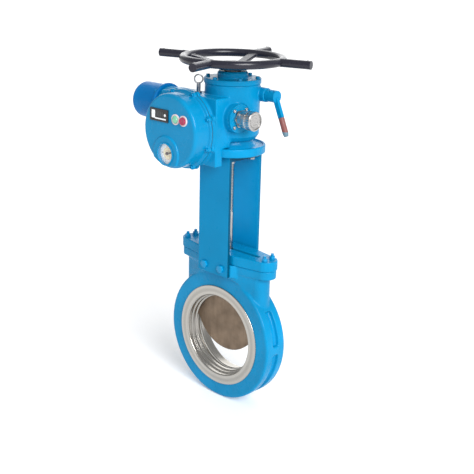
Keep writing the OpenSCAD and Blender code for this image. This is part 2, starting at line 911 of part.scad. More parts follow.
module handwheel() {
    spoke_drop = rim_z - hub_top;
    run = rim_r - spoke_start;
    color(black) difference() {
        union() {
            translate([0, 0, rim_z]) rotate_extrude($fn = 128) translate([rim_r, 0])
                circle(r = rim_tube_r, $fn = 48);
            z_cyl(hub_z, hub_top, hub_r);
            difference() {
                translate([0, 0, hub_z + 1]) cylinder(r1 = dish_foot_r, r2 = dish_r, h = dish_h);
                translate([0, 0, hub_z + 6])
                    cylinder(r1 = dish_foot_r - dish_wall, r2 = dish_r - dish_wall, h = dish_h - 4);
            }
            around_z(spokes, grip_angle) translate([spoke_start, 0, rim_z - spoke_drop])
                rotate([0, -atan2(spoke_drop, run), 0])
                    box([0, -spoke_half, -spoke_t], [run, spoke_half, spoke_t]);
        }
        z_cyl(hub_z - eps, hub_top + eps, sleeve_r);
        z_cyl(hub_top, hub_top + far, hub_r - 1);
    }
}

module handwheel_grips() {
    color(black) difference() {
        around_z(spokes, grip_angle) translate([rim_r, 0, rim_z]) rotate([0, 90, 0])
            cylinder(r = rim_tube_r, h = grip_reach - rim_r);
        translate([0, 0, rim_z]) rotate_extrude($fn = 128) translate([rim_r, 0])
            circle(r = rim_tube_r + 0.05, $fn = 48);
        rivets(rim_tube_r);
    }
}

// Rivets through the top of each grip, ending at height h above the rim's middle
module rivets(h) {
    around_z(spokes, grip_angle) for (r = [rim_r + 16, grip_reach - 9])
        translate([r, 0, rim_z + 3]) cylinder(r = 2.2, h = h - 3);
}

module grip_rivets() {
    color(steel) rivets(rim_tube_r + 0.9);
}

module hub_nut() {
    color(steel) difference() {
        hex(46, hub_nut_h, hub_top);
        z_cyl(hub_top - eps, hub_top + 9, 17);
    }
}

valve_body();
front_seat_ring();
rear_seat_ring();
seat_seal();
gate_packing();
gland_flange();
gland_studs();
gland_nuts();
flange_plugs();
front_yoke_plate();
rear_yoke_plate();
yoke_top_plate();
yoke_bolts();
base_bolts();
gate();
stem();
stem_nut();
drive_sleeve();
lower_bearing();
upper_bearing();
thrust_base();
gear_housing();
top_cover();
top_cover_screws();
worm_wheel();
worm_shaft();
worm_bearings();
motor_housing();
motor_stator();
motor_end_cap();
motor_bolts();
clutch_sleeve();
clutch_lever();
lever_grip();
electrical_cover();
cover_gasket();
cover_screws();
control_board();
display_panel();
dial_face();
dial_pointer();
dial_glass();
dial_bezel();
button_bezels();
green_button();
red_button();
cable_flange();
cable_flange_screws();
cable_gland();
cable_gland_cap();
lifting_eye();
handwheel();
handwheel_grips();
grip_rivets();
hub_nut();
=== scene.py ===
import json
import math

import bmesh
import bpy
from mathutils import Matrix, Vector


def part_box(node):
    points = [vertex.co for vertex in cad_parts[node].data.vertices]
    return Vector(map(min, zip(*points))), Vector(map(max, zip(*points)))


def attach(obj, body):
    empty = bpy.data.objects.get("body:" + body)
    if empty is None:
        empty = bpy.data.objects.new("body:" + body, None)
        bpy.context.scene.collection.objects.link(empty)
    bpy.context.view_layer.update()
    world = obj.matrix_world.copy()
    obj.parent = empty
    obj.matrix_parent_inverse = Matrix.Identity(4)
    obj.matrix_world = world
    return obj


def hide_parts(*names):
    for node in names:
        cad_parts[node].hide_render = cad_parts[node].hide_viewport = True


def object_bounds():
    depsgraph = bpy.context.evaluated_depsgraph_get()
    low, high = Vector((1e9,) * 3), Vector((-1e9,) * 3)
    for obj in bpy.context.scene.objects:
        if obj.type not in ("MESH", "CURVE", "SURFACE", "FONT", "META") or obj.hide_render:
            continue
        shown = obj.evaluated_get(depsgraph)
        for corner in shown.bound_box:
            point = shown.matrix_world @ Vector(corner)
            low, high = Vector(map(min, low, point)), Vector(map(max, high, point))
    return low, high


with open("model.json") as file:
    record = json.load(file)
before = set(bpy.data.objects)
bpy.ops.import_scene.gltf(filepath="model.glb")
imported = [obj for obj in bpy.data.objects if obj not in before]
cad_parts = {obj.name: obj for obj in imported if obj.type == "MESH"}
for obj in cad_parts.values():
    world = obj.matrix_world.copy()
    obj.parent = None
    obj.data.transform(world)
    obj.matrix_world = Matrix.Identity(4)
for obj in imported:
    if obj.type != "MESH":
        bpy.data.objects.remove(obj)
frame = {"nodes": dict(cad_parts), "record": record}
cad_low, cad_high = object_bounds()
NODES = frame["nodes"]
SLOT_OF = {part["node"]: part["material_slot"] for part in frame["record"]["subparts"]}
BODY_OF = {
    member: body
    for body, members in frame["record"]["behaviour"]["bodies"].items()
    for member in members
}
MM = 0.001
AXIS_X = Vector((1, 0, 0))
AXIS_Y = Vector((0, 1, 0))
AXIS_Z = Vector((0, 0, 1))


# ---------------------------------------------------------------- camera

CAMERA_AZIMUTH = math.radians(43.403)
CAMERA_DISTANCE = 2.2657
CAMERA_HEIGHT = 0.9916
CAMERA_HEADING = math.radians(42.893)
CAMERA_PITCH = math.radians(17.925)
CAMERA_ROLL = math.radians(1.502)
CAMERA_LENS = 71.76


def make_camera():
    """Camera to the front right of the valve, higher than the handwheel."""
    data = bpy.data.cameras.new("camera")
    data.lens = CAMERA_LENS
    data.clip_end = 100
    camera = bpy.data.objects.new("camera", data)
    bpy.context.scene.collection.objects.link(camera)
    ahead = Vector((
        -math.sin(CAMERA_HEADING) * math.cos(CAMERA_PITCH),
        math.cos(CAMERA_HEADING) * math.cos(CAMERA_PITCH),
        -math.sin(CAMERA_PITCH),
    ))
    level = Vector((math.cos(CAMERA_HEADING), math.sin(CAMERA_HEADING), 0))
    upright = level.cross(ahead)
    right = level * math.cos(CAMERA_ROLL) + upright * math.sin(CAMERA_ROLL)
    up = upright * math.cos(CAMERA_ROLL) - level * math.sin(CAMERA_ROLL)
    camera.matrix_world = Matrix((
        (right.x, up.x, -ahead.x, CAMERA_DISTANCE * math.sin(CAMERA_AZIMUTH)),
        (right.y, up.y, -ahead.y, -CAMERA_DISTANCE * math.cos(CAMERA_AZIMUTH)),
        (right.z, up.z, -ahead.z, CAMERA_HEIGHT),
        (0, 0, 0, 1),
    ))
    bpy.context.scene.camera = camera


# ---------------------------------------------------------------- materials

def material(name, colour, metallic=0.0, roughness=0.4, **fixed):
    """A Principled material. fixed sets any other socket by its name with underscores."""
    made = bpy.data.materials.new(name)
    made.use_nodes = True
    sockets = made.node_tree.nodes["Principled BSDF"].inputs
    sockets["Base Color"].default_value = (*colour, 1)
    sockets["Metallic"].default_value = metallic
    sockets["Roughness"].default_value = roughness
    for key, value in fixed.items():
        sockets[key.replace("_", " ")].default_value = value
    return made


def node(made, kind, values=None, links=None, **settings):
    """Adds a shader node, sets its options, its input values and its incoming links."""
    new = made.node_tree.nodes.new(kind)
    for key, value in settings.items():
        setattr(new, key, value)
    for key, value in (values or {}).items():
        new.inputs[key].default_value = value
    for key, source in (links or {}).items():
        made.node_tree.links.new(source, new.inputs[key])
    return new


def surface(made, socket, source):
    """Feeds one socket of the material's shader."""
    shader = made.node_tree.nodes["Principled BSDF"]
    made.node_tree.links.new(source, shader.inputs[socket])


def place(made, stretch=(1, 1, 1)):
    """Object coordinates in metres, stretched along each axis."""
    coords = node(made, "ShaderNodeTexCoord")
    scaled = node(
        made, "ShaderNodeMapping", {"Scale": stretch}, {"Vector": coords.outputs["Object"]}
    )
    return scaled.outputs["Vector"]


def noise(made, scale, detail=3.0, stretch=(1, 1, 1), rough=0.5):
    """Cloudy noise from 0 to 1, scale features to the metre."""
    values = {"Scale": scale, "Detail": detail, "Roughness": rough}
    made_noise = node(made, "ShaderNodeTexNoise", values, {"Vector": place(made, stretch)})
    return made_noise.outputs["Fac"]


def turned(made, axis, scale):
    """Noise that only changes with the distance from an axis through the origin: lathe marks."""
    apart = node(made, "ShaderNodeSeparateXYZ", links={"Vector": place(made)})
    across = [name for name in "XYZ" if name != axis]
    flat = node(
        made,
        "ShaderNodeCombineXYZ",
        links={name: apart.outputs[side] for name, side in zip("XY", across, strict=True)},
    )
    radius = node(made, "ShaderNodeVectorMath", links={0: flat.outputs[0]}, operation="LENGTH")
    rings = node(
        made,
        "ShaderNodeTexNoise",
        {"Scale": scale, "Detail": 4.0},
        {"W": radius.outputs["Value"]},
        noise_dimensions="1D",
    )
    return rings.outputs["Fac"]


def spread(made, source, low, high, clip=(0.3, 0.7)):
    """Maps a texture to the range from low to high."""
    values = {"From Min": clip[0], "From Max": clip[1], "To Min": low, "To Max": high}
    mapped = node(made, "ShaderNodeMapRange", values, {"Value": source})
    return mapped.outputs["Result"]


def two_tone(made, source, low, high, clip=(0.35, 0.65)):
    """Colours the surface from one colour to another along a texture."""
    ramp = node(made, "ShaderNodeValToRGB", links={"Fac": source})
    for element, place_on, colour in zip(
        ramp.color_ramp.elements, clip, (low, high), strict=True
    ):
        element.position = place_on
        element.color = (*colour, 1)
    surface(made, "Base Color", ramp.outputs["Color"])


def bumps(made, *layers):
    """Stacks bump layers, each a texture with its depth in metres."""
    normal = None
    for source, depth in layers:
        links = {"Height": source}
        if normal is not None:
            links["Normal"] = normal
        bump = node(made, "ShaderNodeBump", {"Strength": 1.0, "Distance": depth}, links)
        normal = bump.outputs["Normal"]
    surface(made, "Normal", normal)


def shade(colour, factor):
    """The same colour, lighter or darker."""
    return tuple(min(1.0, part * factor) for part in colour)


def enamel(name, colour, cast_depth, rough_low, rough_high, vary=0.10, **fixed):
    """Sprayed gloss enamel: orange peel, a soft change of tone, and the ground's own texture."""
    made = material(name, colour, **fixed)
    two_tone(made, noise(made, 11, 4), shade(colour, 1 - vary), shade(colour, 1 + vary))
    surface(made, "Roughness", spread(made, noise(made, 55, 4), rough_low, rough_high))
    bumps(
        made,
        (noise(made, 140, 5, rough=0.6), cast_depth),
        (noise(made, 620, 2), 0.00009),
    )
    return made


def brushed(name, colour, stretch, rough_low, rough_high, depth=0.00004, stain=0.12):
    """Ground or drawn metal with fine lines along one axis and a faint stain."""
    made = material(name, colour, metallic=1.0)
    lines = noise(made, 1, 4, stretch)
    two_tone(made, noise(made, 26, 5), shade(colour, 1 - stain), shade(colour, 1 + stain))
    surface(made, "Roughness", spread(made, lines, rough_low, rough_high))
    bumps(made, (lines, depth))
    return made


def lathe_steel(name, colour, axis, rough_low, rough_high):
    """Turned steel: rings about one axis, and highlights that spread across them."""
    made = material(name, colour, metallic=1.0, Anisotropic=0.55)
    rings = turned(made, axis, 900)
    two_tone(made, turned(made, axis, 120), shade(colour, 0.86), shade(colour, 1.06))
    surface(made, "Roughness", spread(made, rings, rough_low, rough_high))
    bumps(made, (rings, 0.00005), (noise(made, 300, 4), 0.00002))
    tangent = node(made, "ShaderNodeTangent", direction_type="RADIAL", axis=axis)
    surface(made, "Tangent", tangent.outputs["Tangent"])
    return made


def moulded(name, colour, roughness, grain=700, depth=0.00006, **fixed):
    """Moulded plastic or rubber with a fine grain."""
    made = material(name, colour, roughness=roughness, **fixed)
    two_tone(made, noise(made, 60, 3), shade(colour, 0.92), shade(colour, 1.08))
    bumps(made, (noise(made, grain, 3), depth))
    return made


def braided(name, colour):
    """Plaited packing rope."""
    made = material(name, colour, roughness=0.85, Sheen_Weight=0.3)
    weave = node(
        made,
        "ShaderNodeTexWave",
        {"Scale": 160.0, "Distortion": 1.5, "Detail": 2.0},
        {"Vector": place(made)},
        bands_direction="DIAGONAL",
    )
    two_tone(made, weave.outputs["Fac"], shade(colour, 0.7), shade(colour, 1.1))
    bumps(made, (weave.outputs["Fac"], 0.0006))
    return made


def worn_grip(name, colour, rubbed):
    """Dipped grip, rubbed paler in patches."""
    made = material(name, colour, roughness=0.5)
    two_tone(made, noise(made, 45, 5, rough=0.65), colour, rubbed, clip=(0.42, 0.72))
    surface(made, "Roughness", spread(made, noise(made, 80, 3), 0.4, 0.62))
    bumps(made, (noise(made, 500, 4), 0.0002))
    return made


# Width of the painted shade on the yoke plates' side faces, in metres.
SHADED_SIDE_BAND = 0.0006
BARE_BORE_RADIUS = 0.1115
BARE_SLOT_HALF_DEPTH = 0.0068
BARE_SLOT_RADIUS = 0.15
WORN_TIP = 0.013

BLUE = (0.0010, 0.228, 0.462)
MOTOR_BLUE = (0.001, 0.150, 0.42)
LOOKS = {
    "blue_paint": enamel("cast_blue", BLUE, 0.0006, 0.22, 0.38, Specular_IOR_Level=0.08,
                         Coat_Weight=0.05, Coat_Roughness=0.10),
    "motor_paint": enamel("motor_blue", MOTOR_BLUE, 0.0003, 0.26, 0.40, Specular_IOR_Level=0.10),
    "painted_steel": enamel("fastener_blue", shade(BLUE, 1.1), 0.0001, 0.20, 0.34,
                            Specular_IOR_Level=0.3),
    "seat_steel": lathe_steel("turned_steel", (0.45, 0.43, 0.395), "Y", 0.18, 0.36),
    "gate_steel": brushed("gate_plate", (0.200, 0.148, 0.106), (300, 300, 9), 0.30, 0.52,
                          stain=0.22),
    "stem_steel": brushed("polished_stem", (0.50, 0.49, 0.48), (60, 60, 900), 0.14, 0.28),
    "bright_steel": brushed("zinc_steel", (0.40, 0.40, 0.41), (400, 400, 400), 0.24, 0.40),
    "nickel": brushed("nickel_plate", (0.50, 0.49, 0.48), (500, 120, 120), 0.20, 0.34),
    "brass": brushed("bronze", (0.62, 0.42, 0.18), (200, 200, 700), 0.25, 0.42),
    "copper": brushed("winding_copper", (0.55, 0.26, 0.12), (80, 900, 900), 0.28, 0.46,
                      depth=0.0003),
    "black_enamel": enamel("black_enamel", (0.016, 0.016, 0.026), 0.0003, 0.18, 0.32,
                           Specular_IOR_Level=0.3, Coat_Weight=0.15, Coat_Roughness=0.06),
    "ptfe_white": moulded("seat_ptfe", (0.80, 0.80, 0.77), 0.45, depth=0.00004),
    "rubber": moulded("gasket_rubber", (0.022, 0.022, 0.025), 0.62, depth=0.0001),
    "packing": braided("plaited_packing", (0.42, 0.38, 0.30)),
    "circuit_board": moulded("circuit_board", (0.02, 0.16, 0.06), 0.4, grain=260, depth=0.0003),
    "display_black": moulded("display_black", (0.008, 0.008, 0.010), 0.18, depth=0.00002),
    "dial_cream": moulded("dial_cream", (0.94, 0.95, 0.92), 0.5, depth=0.00003),
    "pointer_dark": moulded("pointer_dark", (0.045, 0.012, 0.012), 0.35, depth=0.00003),
    "bezel_white": moulded("bezel_pale", (0.72, 0.60, 0.60), 0.3, depth=0.00003),
    "button_green": moulded("lens_green", (0.17, 0.50, 0.33), 0.2, depth=0.00002,
                            Coat_Weight=0.8, Coat_Roughness=0.04),
    "button_red": moulded("button_red", (0.34, 0.012, 0.065), 0.3, depth=0.00003,
                          Coat_Weight=0.3, Coat_Roughness=0.1),
}
COVER_BLUE = enamel("cover_blue", BLUE, 0.00016, 0.18, 0.30, vary=0.05,
                    Specular_IOR_Level=0.12, Coat_Weight=0.10, Coat_Roughness=0.06)


def within(made, source, limit, beyond=False):
    """One where a value is below a limit, or above it when beyond is set."""
    test = "GREATER_THAN" if beyond else "LESS_THAN"
    return node(made, "ShaderNodeMath", {1: limit}, {0: source}, operation=test).outputs[0]


def both(made, first, second, operation="MULTIPLY"):
    """Combines two masks: where both are one, or with MAXIMUM where either is."""
    joined = node(made, "ShaderNodeMath", links={0: first, 1: second}, operation=operation)
    return joined.outputs[0]


def blend_base(made, mask, colour, metallic):
    """Shows another base colour, and more metal, where the mask is one."""
    shader = made.node_tree.nodes["Principled BSDF"]
    under = shader.inputs["Base Color"].links[0].from_socket
    mixed = node(made, "ShaderNodeMix", data_type="RGBA")
    mixed.inputs[7].default_value = (*colour, 1)
    made.node_tree.links.new(mask, mixed.inputs[0])
    made.node_tree.links.new(under, mixed.inputs[6])
    surface(made, "Base Color", mixed.outputs[2])
    scaled = node(made, "ShaderNodeMath", {1: metallic}, {0: mask}, operation="MULTIPLY")
    surface(made, "Metallic", scaled.outputs[0])


def plate_enamel(name, factor, side_shade_factor):
    """Enamel on flat plate, with painted shade darkening its two long side faces."""
    made = enamel(name, shade(BLUE, factor), 0.00012, 0.26, 0.38, vary=0.05,
                  Specular_IOR_Level=0.08)
    apart = node(made, "ShaderNodeSeparateXYZ", links={"Vector": place(made)})
    across = node(made, "ShaderNodeMath", links={0: apart.outputs["X"]}, operation="ABSOLUTE")
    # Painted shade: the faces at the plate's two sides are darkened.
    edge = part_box("front_yoke_plate")[1].x - SHADED_SIDE_BAND
    blend_base(made, within(made, across.outputs[0], edge, beyond=True),
               shade(BLUE, side_shade_factor), 0.0)
    return made


# The last figure sets how dark the painted shade on the plates' side faces is.
PLATE_BLUE = plate_enamel("plate_blue", 0.98, 0.30)
# Painted light: the rear plate gets a lighter copy of the plate enamel, so that its face between
# the plates shows lit.
REAR_LIT_BLUE = plate_enamel("rear_plate_lit_blue", 1.35, 0.62)


def bored_body():
    """Blue enamel outside; bare machined iron in the bore and in the gate's slot."""
    made = enamel("body_blue", BLUE, 0.0006, 0.22, 0.38, Specular_IOR_Level=0.12,
                  Coat_Weight=0.05, Coat_Roughness=0.10)
    apart = node(made, "ShaderNodeSeparateXYZ", links={"Vector": place(made)})
    flat = node(made, "ShaderNodeCombineXYZ", links={
        "X": apart.outputs["X"], "Y": apart.outputs["Z"]})
    radius = node(made, "ShaderNodeVectorMath", links={0: flat.outputs[0]}, operation="LENGTH")
    bore = within(made, radius.outputs["Value"], BARE_BORE_RADIUS)
    depth = node(made, "ShaderNodeMath", links={0: apart.outputs["Y"]}, operation="ABSOLUTE")
    slot = both(made, within(made, depth.outputs[0], BARE_SLOT_HALF_DEPTH),
                within(made, radius.outputs["Value"], BARE_SLOT_RADIUS))
    blend_base(made, both(made, bore, slot, "MAXIMUM"), (0.50, 0.48, 0.45), 0.9)
    return made


def tipped_grip():
    """Dull red dipped grip whose lower tip is worn to blue-grey paint."""
    made = worn_grip("grip_red", (0.20, 0.058, 0.052), (0.27, 0.150, 0.145))
    apart = node(made, "ShaderNodeSeparateXYZ", links={"Vector": place(made)})
    grip_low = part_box("lever_grip")[0].z
    tip = within(made, apart.outputs["Z"], grip_low + WORN_TIP)
    blend_base(made, tip, (0.10, 0.19, 0.25), 0.0)
    return made


LOOKS["grip_red"] = tipped_grip()
SPECIAL = {
    "valve_body": bored_body(),
    "front_yoke_plate": PLATE_BLUE,
    "rear_yoke_plate": REAR_LIT_BLUE,
    "yoke_top_plate": PLATE_BLUE,
    "electrical_cover": COVER_BLUE,
    "cover_screws": LOOKS["painted_steel"],
    "dial_bezel": COVER_BLUE,
}


def make_glass():
    """Clear, thin dial glass with faint wiping marks."""
    made = material("dial_glass", (0.97, 0.99, 1.0), roughness=0.02, Alpha=0.06)
    surface(made, "Roughness", spread(made, noise(made, 90, 3), 0.0, 0.05))
    return made


LOOKS["clear_glass"] = make_glass()


def look_of(name):
    """A node's material: its own one where it has one, otherwise that of its slot."""
    return SPECIAL.get(name) or LOOKS[SLOT_OF[name]]


# ---------------------------------------------------------------- pieces

def add_piece(name, mesh, body, look):
    """Links a mesh as a piece that rides on a body, with the given material."""
    piece = bpy.data.objects.new(name, mesh)
    bpy.context.scene.collection.objects.link(piece)
    mesh.materials.clear()
    mesh.materials.append(look)
    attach(piece, body)
    return piece


def smooth_all(mesh):
    """Smooth shading on every face."""
    mesh.polygons.foreach_set("use_smooth", [True] * len(mesh.polygons))
    mesh.update()


def rounded(names, voxel, passes):
    """CAD nodes as one piece, with the rounded edges and filled inner corners of a casting."""
    joined = bmesh.new()
    for each in names:
        joined.from_mesh(NODES[each].data)
    name = names[0]
    together = bpy.data.meshes.new("together")
    joined.to_mesh(together)
    joined.free()
    source = bpy.data.objects.new("source", together)
    bpy.context.scene.collection.objects.link(source)
    weld = source.modifiers.new("weld", "WELD")
    weld.merge_threshold = 1e-6
    remesh = source.modifiers.new("remesh", "REMESH")
    remesh.mode = "VOXEL"
    remesh.voxel_size = voxel * MM
    relax = source.modifiers.new("relax", "SMOOTH")
    relax.iterations = passes
    graph = bpy.context.evaluated_depsgraph_get()
    mesh = bpy.data.meshes.new_from_object(source.evaluated_get(graph))
    bpy.data.objects.remove(source)
    smooth_all(mesh)
    piece = add_piece("cast_" + name, mesh, BODY_OF[name], look_of(name))
    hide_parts(*names)


def ease_edges(piece, width, segments):
    """Rounds a piece's sharp edges and keeps its flat faces flat."""
    bevel = piece.modifiers.new("bevel", "BEVEL")
    bevel.width = width * MM
    bevel.segments = segments
    bevel.angle_limit = math.radians(35)
    normals = piece.modifiers.new("normals", "WEIGHTED_NORMAL")
    normals.keep_sharp = True


def dress(name, width):
    """Gives a CAD node its material and a small bevel on its sharp edges."""
    cad = NODES[name]
    for entry in cad.material_slots:
        entry.material = look_of(name)
    weld = cad.modifiers.new("weld", "WELD")
    weld.merge_threshold = 1e-6
    merge = cad.modifiers.new("merge", "DECIMATE")
    merge.decimate_type = "DISSOLVE"
    merge.angle_limit = math.radians(1)
    ease_edges(cad, width, 2)


def turn_to(axis):
    """Rotation that takes +Z to the given axis."""
    return Vector(axis).to_track_quat("Z", "Y").to_matrix()


def hex_radius(flats, angle):
    """Distance from the centre of a hexagon to its side."""
    return flats / 2 / math.cos(angle % math.radians(60) - math.radians(30))


def lathe_rings(rings, sides=48):
    """Vertices and faces of a turned solid. Each ring is (radius, height, across flats or 0),
    in millimetres; a ring with flats is a hexagon cut down to the radius. The first and last
    rings are joined, unless they are points on the axis."""
    points, faces, rows = [], [], []
    for radius, height, flats in rings:
        row = []
        for k in range(1 if radius == 0 else sides):
            angle = 2 * math.pi * k / sides
            reach = min(radius, hex_radius(flats, angle)) if flats else radius
            row.append(len(points))
            points.append(Vector((reach * math.cos(angle), reach * math.sin(angle), height)))
        rows.append(row)
    pairs = list(zip(rows, rows[1:], strict=False))
    if len(rows[0]) > 1 and len(rows[-1]) > 1:
        pairs.append((rows[-1], rows[0]))
    for low, high in pairs:
        for k in range(sides):
            after = (k + 1) % sides
            if len(low) == 1:
                faces.append((low[0], high[after], high[k]))
            elif len(high) == 1:
                faces.append((low[k], low[after], high[0]))
            else:
                faces.append((low[k], low[after], high[after], high[k]))
    return points, faces


def join_parts(parts):
    """One mesh from several (points, faces) lists, points in millimetres."""
    points, faces = [], []
    for part_points, part_faces in parts:
        start = len(points)
        points += [p * MM for p in part_points]
        faces += [tuple(start + k for k in face) for face in part_faces]
    mesh = bpy.data.meshes.new("part")
    mesh.from_pydata(points, [], faces)
    mesh.validate()
    return mesh


def sharpen(mesh, degrees=35):
    """Smooth shading that keeps edges over the given angle crisp."""
    smooth_all(mesh)
    mesh.set_sharp_from_angle(angle=math.radians(degrees))


def placed(part, centre, axis=AXIS_Z):
    """Turns a part's own +Z to an axis and moves it to a centre in millimetres."""
    turn = turn_to(axis)
    return [turn @ p + Vector(centre) for p in part[0]], part[1]


def hex_nut(flats, height, hole):
    """Nut with chamfered corners at both ends."""
    corner = flats / 2 / math.cos(math.radians(30))
    edge = flats / 2 * 0.96
    rise = (corner - edge) * 0.5
    steps = [edge + (corner - edge) * k / 3 for k in range(4)]
    rings = [(hole, 0, 0)]
    rings += [(r, rise * k / 3, flats) for k, r in enumerate(steps)]
    rings += [(r, height - rise * k / 3, flats) for k, r in reversed(list(enumerate(steps)))]
    rings += [(hole + 0.6, height, 0), (hole, height - 0.6, 0)]
    return lathe_rings(rings)


def washer(radius, height, hole):
    """Flat washer with eased outer edges."""
    edge = min(0.3, height / 3)
    return lathe_rings([
        (hole, 0, 0), (radius - edge, 0, 0), (radius, edge, 0), (radius, height - edge, 0),
        (radius - edge, height, 0), (hole, height, 0),
    ])


def cap_screw(head, height, radius, length):
    """Cap screw with a hexagon socket, its head above zero and its shank below."""
    edge = head * 0.12
    flats = head * 1.05
    return lathe_rings([
        (0, -length, 0), (radius, -length, 0), (radius, 0, 0), (head, 0, 0),
        (head, height - edge, 0), (head - edge, height, 0), (flats * 0.62, height, 0),
        (flats, height - 0.3, flats), (flats, height * 0.4, flats), (0, height * 0.3, 0),
    ])


def bolt(flats, height, radius, length):
    """Hex bolt with a washer face and a chamfered top, its head above zero."""
    corner = flats / 2 / math.cos(math.radians(30))
    edge = flats / 2 * 0.95
    rise = (corner - edge) * 0.5
    shank = [
        (0, -length, 0), (radius - 0.5, -length, 0), (radius, 0.5 - length, 0), (radius, 0, 0),
    ]
    return lathe_rings((shank if length else [(0, 0, 0)]) + [
        (edge, 0, 0), (edge, 0.4, 0), (corner, 0.4, flats), (corner, height - rise, flats),
        ((corner + edge) / 2, height - rise * 0.4, flats), (edge, height, flats), (0, height, 0),
    ])


def block(low, high):
    """Box between two corners, in millimetres."""
    points = [
        Vector((x, y, z)) for z in (low[2], high[2]) for y in (low[1], high[1])
        for x in (low[0], high[0])
    ]
    faces = [(0, 2, 3, 1), (4, 5, 7, 6), (0, 1, 5, 4), (2, 6, 7, 3), (0, 4, 6, 2), (1, 3, 7, 5)]
    return points, faces


def threaded_rod(radius, depth, pitch, starts, low, high, thread_low, thread_high, sides=48):
    """Rod along Z with a trapezoidal thread between two heights, in millimetres. Negative
    starts make a left-hand thread."""
    count = round((thread_high - thread_low) / pitch * 8)
    heights = [low, low + 0.8]
    heights += [thread_low + k * (thread_high - thread_low) / count for k in range(count + 1)]
    heights += [high - 0.6, high]
    points, faces = [], []
    for height in heights:
        end_cut = depth if height in (low, high) else 0.0
        fade = min(1.0, max(0.0, min(height - thread_low, thread_high - height) / pitch))
        for k in range(sides):
            angle = 2 * math.pi * k / sides
            phase = (height / pitch - starts * k / sides) % 1.0
            groove = min(1.0, max(0.0, (abs(phase - 0.5) * 4 - 0.6) / 0.6))
            reach = radius - max(end_cut, depth * groove * fade)
            points.append(Vector((reach * math.cos(angle), reach * math.sin(angle), height)))
    for row in range(len(heights) - 1):
        for k in range(sides):
            a, b = row * sides + k, row * sides + (k + 1) % sides
            faces.append((a, b, b + sides, a + sides))
    faces.append(tuple(reversed(range(sides))))
    faces.append(tuple(range((len(heights) - 1) * sides, len(heights) * sides)))
    return points, faces


def solids_of(name):
    """Low and high corners of a node's separate solids, in millimetres, from its mesh."""
    mesh = NODES[name].data
    parent = {}

    def root(key):
        while parent[key] != key:
            parent[key] = parent[parent[key]]
            key = parent[key]
        return key

    keys = [tuple(round(c / MM, 3) for c in vertex.co) for vertex in mesh.vertices]
    for key in keys:
        parent.setdefault(key, key)
    for edge in mesh.edges:
        a, b = (root(keys[v]) for v in edge.vertices)
        parent[a] = b
    groups = {}
    for key in parent:
        groups.setdefault(root(key), []).append(Vector(key))
    found = []
    for members in groups.values():
        low = Vector(min(p[i] for p in members) for i in range(3))
        high = Vector(max(p[i] for p in members) for i in range(3))
        found.append((low, high))
    return sorted(found, key=lambda pair: tuple(pair[0]))


# ---------------------------------------------------------------- castings and plates

CASTINGS = (
    (("valve_body", "flange_plugs"), 2.1, 6),
    (("gland_flange",), 1.4, 5),
    (("gear_housing",), 1.7, 6),
    (("electrical_cover",), 1.3, 4),
    (("thrust_base",), 1.2, 4),
    (("top_cover",), 1.2, 3),
    (("motor_housing",), 1.3, 3),
    (("motor_end_cap",), 1.1, 3),
    (("clutch_lever",), 0.7, 5),
    (("handwheel",), 1.4, 4),
)
PLATES = ("front_yoke_plate", "rear_yoke_plate")


def flat_plate(name):
    """Sawn plate with eased edges, made without its bolt holes, which the bolts cover."""
    low, high = (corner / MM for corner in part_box(name))
    mesh = join_parts([block(low, high)])
    smooth_all(mesh)
    piece = add_piece("plate_" + name, mesh, BODY_OF[name], look_of(name))
    ease_edges(piece, 1.2, 3)
    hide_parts(name)


# ---------------------------------------------------------------- fasteners, thread and fittings

def stand_for(name, parts):
    """One finely made piece that stands for a CAD node."""
    mesh = join_parts(parts)
    sharpen(mesh)
    piece = add_piece("fine_" + name, mesh, BODY_OF[name], look_of(name))
    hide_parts(name)


TEE_HEIGHT = 11.7
TANG_HEIGHT = 34
TANG_HALF_X = 10
TANG_HALF_Y = 4.8
THREAD_FOOT = 325
STEM_THREAD_DEPTH = 1.7
STEM_THREAD_PITCH = 4
STEM_THREAD_STARTS = -2
STUD_THREAD_DEPTH = 0.6
STUD_THREAD_PITCH = 1.25
STUD_THREAD_LENGTH = 20
NUT_FLATS = 13
NUT_HOLE = 4
WASHER_HEIGHT = 1.6
HUB_NUT_HOLE = 17
YOKE_HEAD_FLATS = 18
YOKE_HEAD_HEIGHT = 6
YOKE_SHANK_RADIUS = 6
CAP_RADIUS = 22.9
CAP_RIBS_LOW = 12.5
CAP_RIBS_HIGH = 22.5
CAP_RIB_COUNT = 24
CAP_RIB_DEPTH = 0.9


def stem_parts():
    """Polished stem with a tee end and a left-hand two-start thread."""
    low, high = (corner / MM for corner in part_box("stem"))
    tee_top = low.z + TEE_HEIGHT
    shaft_foot = tee_top + TANG_HEIGHT
    return [
        block((low.x, -TANG_HALF_Y, low.z), (high.x, TANG_HALF_Y, tee_top)),
        block(
            (-TANG_HALF_X, -TANG_HALF_Y, tee_top - 0.5),
            (TANG_HALF_X, TANG_HALF_Y, shaft_foot + 1),
        ),
        threaded_rod(
            high.y, STEM_THREAD_DEPTH, STEM_THREAD_PITCH, STEM_THREAD_STARTS,
            shaft_foot, high.z, THREAD_FOOT, high.z - 4,
        ),
    ]


def stud_parts():
    """Studs threaded at their upper ends."""
    parts = []
    for low, high in solids_of("gland_studs"):
        radius = (high.x - low.x) / 2
        length = high.z - low.z
        rod = threaded_rod(
            radius, STUD_THREAD_DEPTH, STUD_THREAD_PITCH, 1,
            0, length, length - STUD_THREAD_LENGTH, length - 0.9, 24,
        )
        parts.append(placed(rod, ((low.x + high.x) / 2, (low.y + high.y) / 2, low.z)))
    return parts


def nut_parts():
    """A washer and a nut for every gland nut."""
    parts = []
    for low, high in solids_of("gland_nuts"):
        centre = ((low.x + high.x) / 2, (low.y + high.y) / 2)
        radius = (high.x - low.x) / 2
        parts.append(placed(washer(radius, WASHER_HEIGHT, NUT_HOLE), (*centre, low.z)))
        nut = hex_nut(NUT_FLATS, high.z - low.z - WASHER_HEIGHT, NUT_HOLE)
        parts.append(placed(nut, (*centre, low.z + WASHER_HEIGHT)))
    return parts


